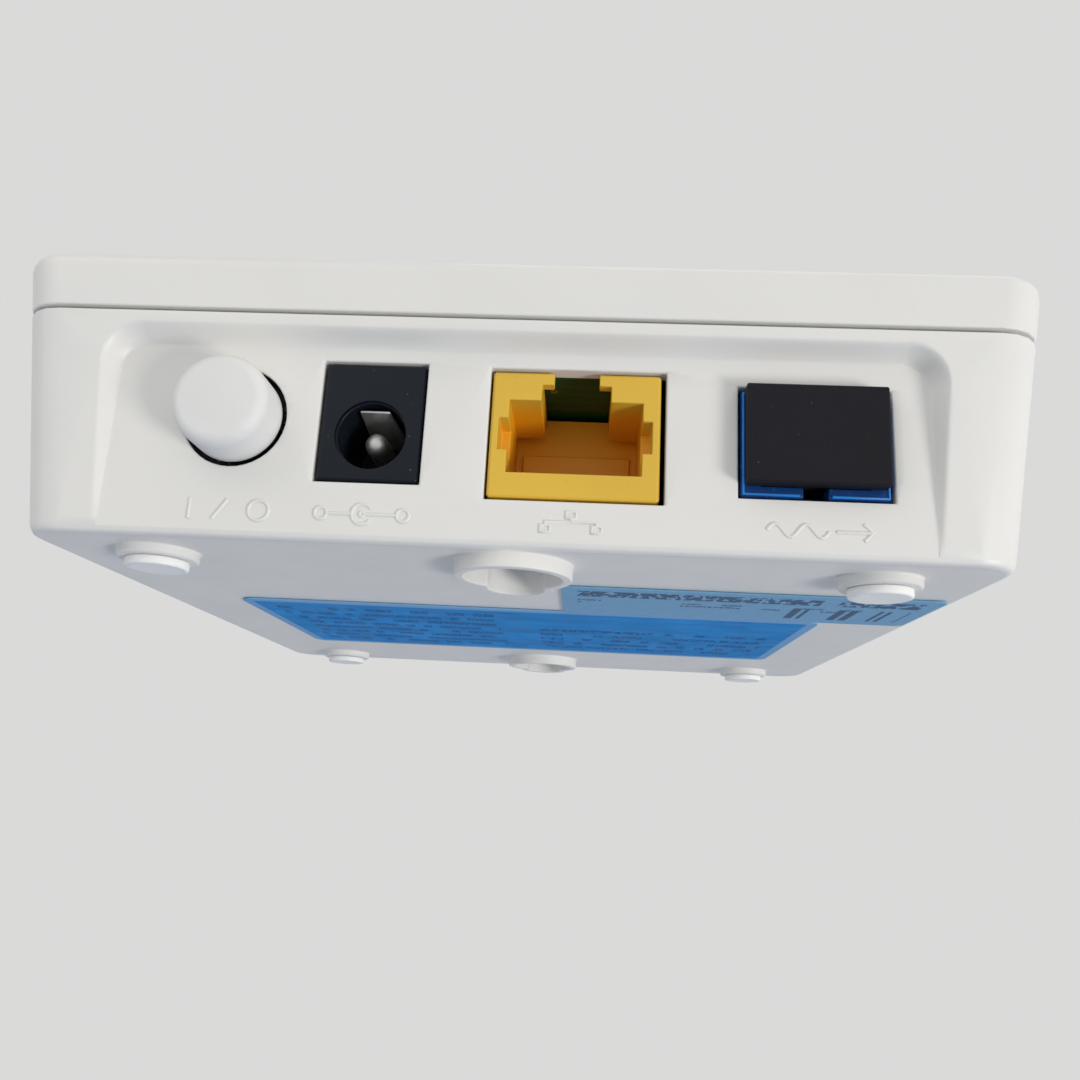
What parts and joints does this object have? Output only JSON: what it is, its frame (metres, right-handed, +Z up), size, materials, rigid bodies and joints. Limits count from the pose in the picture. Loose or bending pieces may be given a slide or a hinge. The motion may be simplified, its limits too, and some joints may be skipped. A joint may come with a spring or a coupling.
{
  "type": "optical network terminal",
  "caption": "Small square white fibre network terminal with a push power button, round power jack, network socket, capped fibre port and keyhole wall hooks.",
  "frame": {"origin": "on the resting plane, under the middle of the whole object's box", "axes": "+Z up through the top cover, -Y out of the port panel, +X to the right of someone facing the ports, with the fibre port on that side"},
  "size_m": [0.092, 0.0939, 0.0275],
  "materials": {
    "case_plastic": "warm white moulded plastic with a fine satin grain",
    "button_plastic": "smooth white moulded plastic",
    "foot_pad": "matt white rubber",
    "rating_label": "glossy printed label",
    "barcode_sticker": "satin printed sticker",
    "black_plastic": "black moulded plastic",
    "dust_cap_plastic": "soft black moulded plastic",
    "lan_jack_plastic": "yellow moulded plastic, slightly translucent",
    "sc_blue_plastic": "blue moulded plastic",
    "nickel_contact": "nickel plated",
    "gold_contact": "gold plated",
    "steel": "satin steel",
    "zirconia": "polished white ceramic",
    "circuit_board": "green solder mask",
    "chip_package": "black moulded epoxy",
    "thermal_pad": "soft grey silicone",
    "heat_sink_aluminium": "plain extruded aluminium",
    "capacitor_sleeve": "shrunk plastic sleeve",
    "led_package": "clear lens on a white package",
    "light_guide_acrylic": "polished clear acrylic"
  },
  "bodies": {
    "case": {"bottom_case": "case_plastic", "top_cover": "case_plastic", "foot_pad_1": "foot_pad", "foot_pad_2": "foot_pad", "foot_pad_3": "foot_pad", "foot_pad_4": "foot_pad", "rating_label": "rating_label", "barcode_sticker": "barcode_sticker", "dc_jack_housing": "black_plastic", "dc_jack_pin": "nickel_contact", "dc_jack_spring_contact": "nickel_contact", "lan_jack_housing": "lan_jack_plastic", "lan_contact_carrier": "black_plastic", "lan_contact_1": "gold_contact", "lan_contact_2": "gold_contact", "lan_contact_3": "gold_contact", "lan_contact_4": "gold_contact", "lan_contact_5": "gold_contact", "lan_contact_6": "gold_contact", "lan_contact_7": "gold_contact", "lan_contact_8": "gold_contact", "sc_receptacle": "sc_blue_plastic", "ferrule_sleeve": "zirconia", "optical_barrel": "steel", "laser_can": "gold_contact", "photodiode_can": "gold_contact", "power_switch_body": "black_plastic", "reset_switch_body": "black_plastic", "main_board": "circuit_board", "board_screw_1": "steel", "board_screw_2": "steel", "board_screw_3": "steel", "board_screw_4": "steel", "main_chip": "chip_package", "thermal_pad": "thermal_pad", "heat_sink": "heat_sink_aluminium", "memory_chip": "chip_package", "flash_chip": "chip_package", "power_converter_chip": "chip_package", "laser_driver_chip": "chip_package", "lan_transformer": "chip_package", "power_inductor": "chip_package", "crystal": "steel", "capacitor_1": "capacitor_sleeve", "capacitor_2": "capacitor_sleeve", "status_led_1": "led_package", "status_led_2": "led_package", "status_led_3": "led_package", "status_led_4": "led_package", "light_guide": "light_guide_acrylic"},
    "power_button": {"power_button": "button_plastic", "power_switch_plunger": "black_plastic"},
    "reset_button": {"reset_switch_plunger": "button_plastic"},
    "dust_cap": {"optical_dust_cap": "dust_cap_plastic"}
  },
  "joints": [
    {"name": "power_button_press", "type": "slide", "parent": "case", "child": "power_button", "axis": [0, 1, 0], "range_m": [0, 0.0025], "stiffness_N_per_m": 400},
    {"name": "reset_press", "type": "slide", "parent": "case", "child": "reset_button", "axis": [1, 0, 0], "range_m": [0, 0.00025], "stiffness_N_per_m": 800},
    {"name": "dust_cap_pull", "type": "slide", "parent": "case", "child": "dust_cap", "axis": [0, -1, 0], "range_m": [0, 0.02]}
  ]
}
